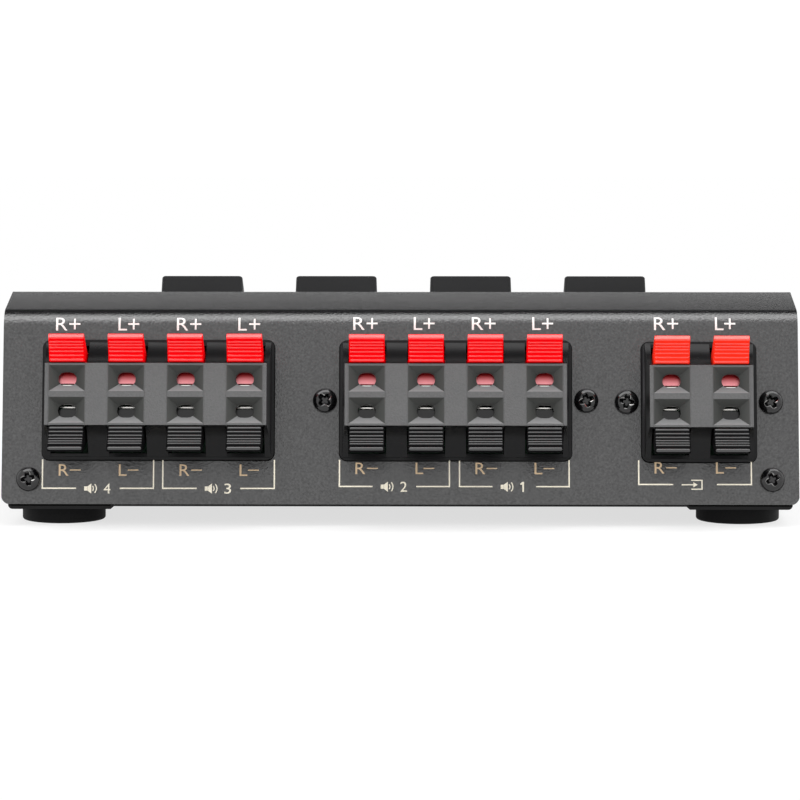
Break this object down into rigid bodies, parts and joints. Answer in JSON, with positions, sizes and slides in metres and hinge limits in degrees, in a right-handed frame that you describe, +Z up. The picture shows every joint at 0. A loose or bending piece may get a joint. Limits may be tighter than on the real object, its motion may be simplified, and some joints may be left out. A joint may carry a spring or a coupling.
{
  "type": "speaker selector switch",
  "caption": "Desktop loudspeaker selector: sloping steel case with push buttons in front and red and black push-lever wire terminals on its leaning rear panel.",
  "frame": {"origin": "on the ground, under the middle of the whole object's bounding box", "axes": "+X along the rear panel, to the right of somebody who faces the terminals; +Y from the rear panel to the control side; +Z up"},
  "size_m": [0.19, 0.1227, 0.0562],
  "materials": {
    "cover_paint": "fine-grained satin powder coat",
    "tray_paint": "fine-grained satin powder coat",
    "foot_rubber": "matt moulded rubber",
    "black_screw": "black oxide",
    "housing_plastic": "satin moulded plastic",
    "contact_bronze": "tinned spring bronze",
    "board_laminate": "solder-masked laminate",
    "cable_grey": "soft plastic",
    "lever_red": "moulded plastic, semi-gloss",
    "lever_orange_red": "moulded plastic, semi-gloss",
    "lever_black": "moulded plastic, semi-gloss",
    "button_plastic": "satin moulded plastic",
    "switch_plastic": "moulded plastic",
    "spring_steel": "bright wire",
    "zinc_steel": "zinc plated"
  },
  "bodies": {
    "case": {"board_pillars": "zinc_steel", "board_screws": "zinc_steel", "case_screws": "black_screw", "chassis_tray": "tray_paint", "flat_cable_left": "cable_grey", "flat_cable_middle": "cable_grey", "flat_cable_right": "cable_grey", "foot_front_left": "foot_rubber", "foot_front_right": "foot_rubber", "foot_rear_left": "foot_rubber", "foot_rear_right": "foot_rubber", "foot_screws": "black_screw", "switch_board": "board_laminate", "switch_body_1": "switch_plastic", "switch_body_2": "switch_plastic", "switch_body_3": "switch_plastic", "switch_body_4": "switch_plastic", "switch_spring_1": "spring_steel", "switch_spring_2": "spring_steel", "switch_spring_3": "spring_steel", "switch_spring_4": "spring_steel", "terminal_board_left": "board_laminate", "terminal_board_middle": "board_laminate", "terminal_board_right": "board_laminate", "terminal_contacts_left": "contact_bronze", "terminal_contacts_middle": "contact_bronze", "terminal_contacts_right": "contact_bronze", "terminal_housing_left": "housing_plastic", "terminal_housing_middle": "housing_plastic", "terminal_housing_right": "housing_plastic", "top_cover": "cover_paint"},
    "red_terminal_left_1": {"red_lever_left_1": "lever_red"},
    "black_terminal_left_1": {"black_lever_left_1": "lever_black"},
    "red_terminal_left_2": {"red_lever_left_2": "lever_red"},
    "black_terminal_left_2": {"black_lever_left_2": "lever_black"},
    "red_terminal_left_3": {"red_lever_left_3": "lever_red"},
    "black_terminal_left_3": {"black_lever_left_3": "lever_black"},
    "red_terminal_left_4": {"red_lever_left_4": "lever_red"},
    "black_terminal_left_4": {"black_lever_left_4": "lever_black"},
    "red_terminal_middle_1": {"red_lever_middle_1": "lever_red"},
    "black_terminal_middle_1": {"black_lever_middle_1": "lever_black"},
    "red_terminal_middle_2": {"red_lever_middle_2": "lever_red"},
    "black_terminal_middle_2": {"black_lever_middle_2": "lever_black"},
    "red_terminal_middle_3": {"red_lever_middle_3": "lever_red"},
    "black_terminal_middle_3": {"black_lever_middle_3": "lever_black"},
    "red_terminal_middle_4": {"red_lever_middle_4": "lever_red"},
    "black_terminal_middle_4": {"black_lever_middle_4": "lever_black"},
    "red_terminal_right_1": {"red_lever_right_1": "lever_orange_red"},
    "black_terminal_right_1": {"black_lever_right_1": "lever_black"},
    "red_terminal_right_2": {"red_lever_right_2": "lever_orange_red"},
    "black_terminal_right_2": {"black_lever_right_2": "lever_black"},
    "button_1": {"button_cap_1": "button_plastic", "switch_plunger_1": "switch_plastic"},
    "button_2": {"button_cap_2": "button_plastic", "switch_plunger_2": "switch_plastic"},
    "button_3": {"button_cap_3": "button_plastic", "switch_plunger_3": "switch_plastic"},
    "button_4": {"button_cap_4": "button_plastic", "switch_plunger_4": "switch_plastic"}
  },
  "joints": [
    {"name": "red_lever_turn_left_1", "type": "hinge", "parent": "case", "child": "red_terminal_left_1", "pos_m": [-0.0787, -0.0431, 0.03834], "axis": [-1, 0, 0], "range_deg": [0, 11], "stiffness_Nm_per_rad": 0.12, "springref_deg": -17.19},
    {"name": "black_lever_turn_left_1", "type": "hinge", "parent": "case", "child": "black_terminal_left_1", "pos_m": [-0.0787, -0.04707, 0.02181], "axis": [1, 0, 0], "range_deg": [0, 11], "stiffness_Nm_per_rad": 0.12, "springref_deg": -17.19},
    {"name": "red_lever_turn_left_2", "type": "hinge", "parent": "case", "child": "red_terminal_left_2", "pos_m": [-0.0647, -0.0431, 0.03834], "axis": [-1, 0, 0], "range_deg": [0, 11], "stiffness_Nm_per_rad": 0.12, "springref_deg": -17.19},
    {"name": "black_lever_turn_left_2", "type": "hinge", "parent": "case", "child": "black_terminal_left_2", "pos_m": [-0.0647, -0.04707, 0.02181], "axis": [1, 0, 0], "range_deg": [0, 11], "stiffness_Nm_per_rad": 0.12, "springref_deg": -17.19},
    {"name": "red_lever_turn_left_3", "type": "hinge", "parent": "case", "child": "red_terminal_left_3", "pos_m": [-0.0507, -0.0431, 0.03834], "axis": [-1, 0, 0], "range_deg": [0, 11], "stiffness_Nm_per_rad": 0.12, "springref_deg": -17.19},
    {"name": "black_lever_turn_left_3", "type": "hinge", "parent": "case", "child": "black_terminal_left_3", "pos_m": [-0.0507, -0.04707, 0.02181], "axis": [1, 0, 0], "range_deg": [0, 11], "stiffness_Nm_per_rad": 0.12, "springref_deg": -17.19},
    {"name": "red_lever_turn_left_4", "type": "hinge", "parent": "case", "child": "red_terminal_left_4", "pos_m": [-0.0367, -0.0431, 0.03834], "axis": [-1, 0, 0], "range_deg": [0, 11], "stiffness_Nm_per_rad": 0.12, "springref_deg": -17.19},
    {"name": "black_lever_turn_left_4", "type": "hinge", "parent": "case", "child": "black_terminal_left_4", "pos_m": [-0.0367, -0.04707, 0.02181], "axis": [1, 0, 0], "range_deg": [0, 11], "stiffness_Nm_per_rad": 0.12, "springref_deg": -17.19},
    {"name": "red_lever_turn_middle_1", "type": "hinge", "parent": "case", "child": "red_terminal_middle_1", "pos_m": [-0.0078, -0.04312, 0.03828], "axis": [-1, 0, 0], "range_deg": [0, 11], "stiffness_Nm_per_rad": 0.12, "springref_deg": -17.19},
    {"name": "black_lever_turn_middle_1", "type": "hinge", "parent": "case", "child": "black_terminal_middle_1", "pos_m": [-0.0078, -0.04709, 0.02174], "axis": [1, 0, 0], "range_deg": [0, 11], "stiffness_Nm_per_rad": 0.12, "springref_deg": -17.19},
    {"name": "red_lever_turn_middle_2", "type": "hinge", "parent": "case", "child": "red_terminal_middle_2", "pos_m": [0.0062, -0.04312, 0.03828], "axis": [-1, 0, 0], "range_deg": [0, 11], "stiffness_Nm_per_rad": 0.12, "springref_deg": -17.19},
    {"name": "black_lever_turn_middle_2", "type": "hinge", "parent": "case", "child": "black_terminal_middle_2", "pos_m": [0.0062, -0.04709, 0.02174], "axis": [1, 0, 0], "range_deg": [0, 11], "stiffness_Nm_per_rad": 0.12, "springref_deg": -17.19},
    {"name": "red_lever_turn_middle_3", "type": "hinge", "parent": "case", "child": "red_terminal_middle_3", "pos_m": [0.0202, -0.04312, 0.03828], "axis": [-1, 0, 0], "range_deg": [0, 11], "stiffness_Nm_per_rad": 0.12, "springref_deg": -17.19},
    {"name": "black_lever_turn_middle_3", "type": "hinge", "parent": "case", "child": "black_terminal_middle_3", "pos_m": [0.0202, -0.04709, 0.02174], "axis": [1, 0, 0], "range_deg": [0, 11], "stiffness_Nm_per_rad": 0.12, "springref_deg": -17.19},
    {"name": "red_lever_turn_middle_4", "type": "hinge", "parent": "case", "child": "red_terminal_middle_4", "pos_m": [0.0342, -0.04312, 0.03828], "axis": [-1, 0, 0], "range_deg": [0, 11], "stiffness_Nm_per_rad": 0.12, "springref_deg": -17.19},
    {"name": "black_lever_turn_middle_4", "type": "hinge", "parent": "case", "child": "black_terminal_middle_4", "pos_m": [0.0342, -0.04709, 0.02174], "axis": [1, 0, 0], "range_deg": [0, 11], "stiffness_Nm_per_rad": 0.12, "springref_deg": -17.19},
    {"name": "red_lever_turn_right_1", "type": "hinge", "parent": "case", "child": "red_terminal_right_1", "pos_m": [0.0642, -0.04319, 0.03798], "axis": [-1, 0, 0], "range_deg": [0, 11], "stiffness_Nm_per_rad": 0.12, "springref_deg": -17.19},
    {"name": "black_lever_turn_right_1", "type": "hinge", "parent": "case", "child": "black_terminal_right_1", "pos_m": [0.0642, -0.04716, 0.02145], "axis": [1, 0, 0], "range_deg": [0, 11], "stiffness_Nm_per_rad": 0.12, "springref_deg": -17.19},
    {"name": "red_lever_turn_right_2", "type": "hinge", "parent": "case", "child": "red_terminal_right_2", "pos_m": [0.0782, -0.04319, 0.03798], "axis": [-1, 0, 0], "range_deg": [0, 11], "stiffness_Nm_per_rad": 0.12, "springref_deg": -17.19},
    {"name": "black_lever_turn_right_2", "type": "hinge", "parent": "case", "child": "black_terminal_right_2", "pos_m": [0.0782, -0.04716, 0.02145], "axis": [1, 0, 0], "range_deg": [0, 11], "stiffness_Nm_per_rad": 0.12, "springref_deg": -17.19},
    {"name": "button_push_1", "type": "slide", "parent": "case", "child": "button_1", "axis": [0, -0.4384, -0.8988], "range_m": [0, 0.0035], "stiffness_N_per_m": 600, "springref_m": -0.004, "deforming": ["switch_spring_1"]},
    {"name": "button_push_2", "type": "slide", "parent": "case", "child": "button_2", "axis": [0, -0.4384, -0.8988], "range_m": [0, 0.0035], "stiffness_N_per_m": 600, "springref_m": -0.004, "deforming": ["switch_spring_2"]},
    {"name": "button_push_3", "type": "slide", "parent": "case", "child": "button_3", "axis": [0, -0.4384, -0.8988], "range_m": [0, 0.0035], "stiffness_N_per_m": 600, "springref_m": -0.004, "deforming": ["switch_spring_3"]},
    {"name": "button_push_4", "type": "slide", "parent": "case", "child": "button_4", "axis": [0, -0.4384, -0.8988], "range_m": [0, 0.0035], "stiffness_N_per_m": 600, "springref_m": -0.004, "deforming": ["switch_spring_4"]}
  ]
}
